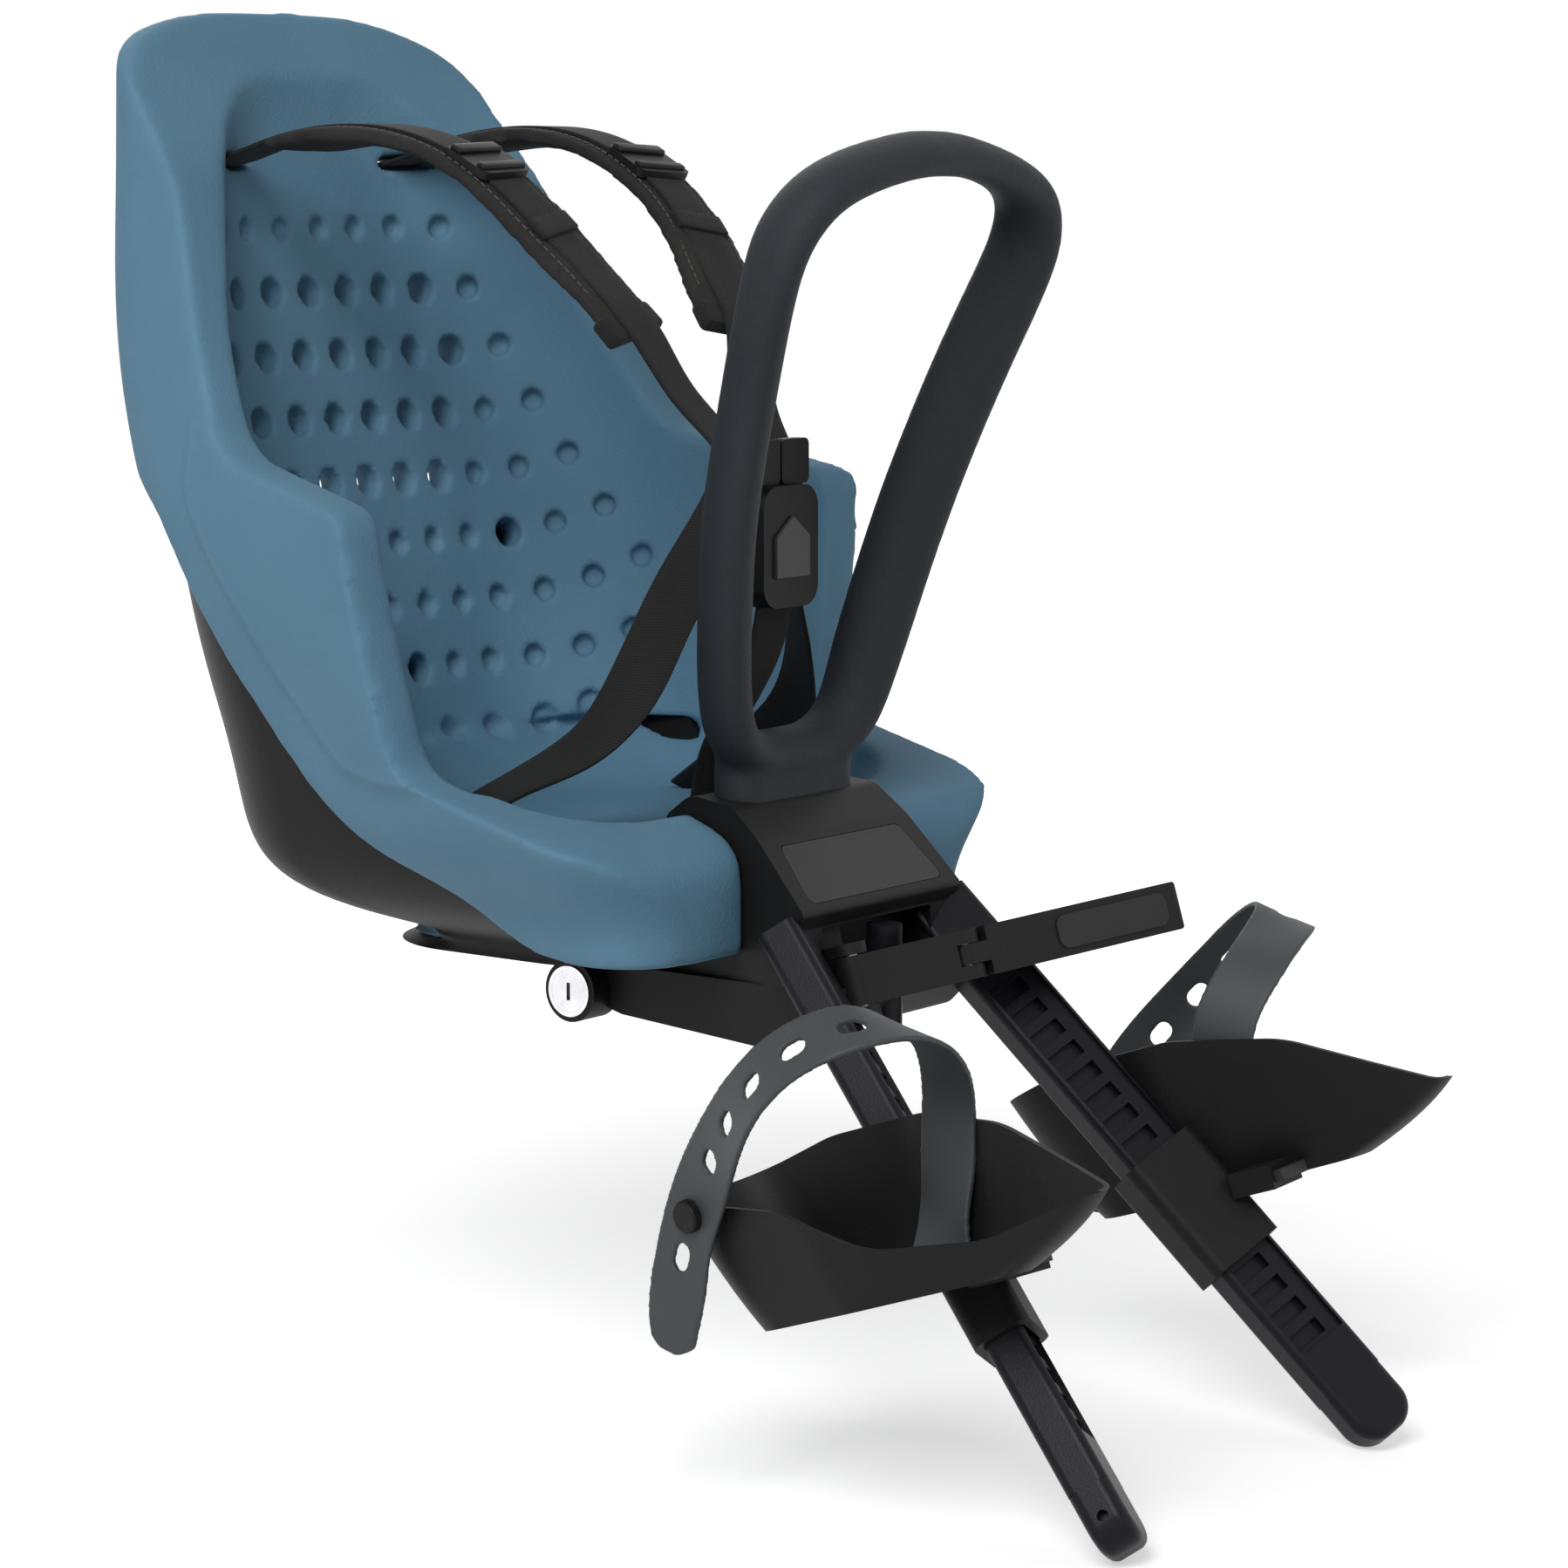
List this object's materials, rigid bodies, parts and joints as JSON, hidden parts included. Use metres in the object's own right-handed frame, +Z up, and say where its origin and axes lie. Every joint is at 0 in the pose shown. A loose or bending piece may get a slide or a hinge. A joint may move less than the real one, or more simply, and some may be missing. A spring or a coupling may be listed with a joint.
{
  "type": "front child bicycle seat",
  "caption": "Foam bucket seat for a small child that hangs on a bracket behind a bicycle handlebar, with grab loop, harness, quick clamp and sliding foot cups.",
  "frame": {"origin": "on the axis of the mount post, on the floor of the bracket pocket", "axes": "+Z up, -Y the way the child faces, +X to the child's left"},
  "size_m": [0.3852, 0.5701, 0.6321],
  "materials": {
    "foam": "matte moulded foam",
    "shell_black": "satin black moulding",
    "panel_grey": "fine texture",
    "grip_foam": "soft matte skin",
    "grip_rubber": "matte rubber",
    "steel": "plated",
    "lock_metal": "polished",
    "strap_rubber": "smooth soft rubber",
    "webbing": "woven webbing",
    "pad_fabric": "knitted cover",
    "buckle_black": "satin",
    "button_grey": "satin"
  },
  "bodies": {
    "seat": {"seat_shell": "foam", "support_tray": "shell_black", "front_pommel": "shell_black", "pommel_panel": "panel_grey", "handle_loop": "grip_foam", "base_housing": "shell_black", "base_screws": "steel", "mount_post": "steel", "lock_collar": "lock_metal", "gate_pin": "steel", "rail_right": "shell_black", "rail_left": "shell_black", "rail_cap_right": "shell_black", "rail_cap_left": "shell_black", "shoulder_pad_right": "pad_fabric", "shoulder_pad_left": "pad_fabric", "shoulder_strap_right": "webbing", "shoulder_strap_left": "webbing", "pad_adjuster_right": "buckle_black", "pad_adjuster_left": "buckle_black", "lap_strap_right": "webbing", "lap_strap_left": "webbing", "crotch_strap": "webbing", "buckle_housing": "buckle_black", "buckle_tongue_right": "buckle_black", "buckle_tongue_left": "buckle_black"},
    "lock_core": {"lock_cylinder": "lock_metal"},
    "gate": {"gate_jaw": "shell_black", "lever_pin": "steel"},
    "lever": {"lever_arm": "shell_black", "lever_grip": "grip_rubber"},
    "footrest_right": {"foot_cup_right": "shell_black", "foot_strap_right": "strap_rubber", "strap_stud_right": "shell_black"},
    "footrest_left": {"foot_cup_left": "shell_black", "foot_strap_left": "strap_rubber", "strap_stud_left": "shell_black"},
    "latch_right": {"footrest_latch_right": "panel_grey"},
    "latch_left": {"footrest_latch_left": "panel_grey"},
    "button": {"buckle_button": "button_grey"}
  },
  "joints": [
    {"name": "lever_swing", "type": "hinge", "parent": "gate", "child": "lever", "pos_m": [0.02014, -0.02947, 0.00808], "axis": [-0.0035, -0.2911, -0.9567], "range_deg": [0, 80]},
    {"name": "gate_swing", "type": "hinge", "parent": "seat", "child": "gate", "pos_m": [-0.034, -0.0095, 0.0022], "axis": [-0.0035, -0.2911, -0.9567], "range_deg": [0, 60]},
    {"name": "lock_turn", "type": "hinge", "parent": "seat", "child": "lock_core", "pos_m": [-0.06, 0.124, -0.012], "axis": [-1, 0, 0], "range_deg": [0, 90]},
    {"name": "footrest_slide_right", "type": "slide", "parent": "seat", "child": "footrest_right", "axis": [-0.1647, -0.6803, -0.7142], "range_m": [-0.035, 0.07]},
    {"name": "footrest_slide_left", "type": "slide", "parent": "seat", "child": "footrest_left", "axis": [0.1647, -0.6803, -0.7142], "range_m": [-0.035, 0.07]},
    {"name": "latch_press_right", "type": "slide", "parent": "footrest_right", "child": "latch_right", "axis": [0.0824, 0.9419, -0.3256], "range_m": [0, 0.004], "stiffness_N_per_m": 600},
    {"name": "latch_press_left", "type": "slide", "parent": "footrest_left", "child": "latch_left", "axis": [-0.0824, 0.9419, -0.3256], "range_m": [0, 0.004], "stiffness_N_per_m": 600},
    {"name": "button_press", "type": "slide", "parent": "seat", "child": "button", "axis": [0, 1, 0], "range_m": [0, 0.003], "stiffness_N_per_m": 1200}
  ]
}
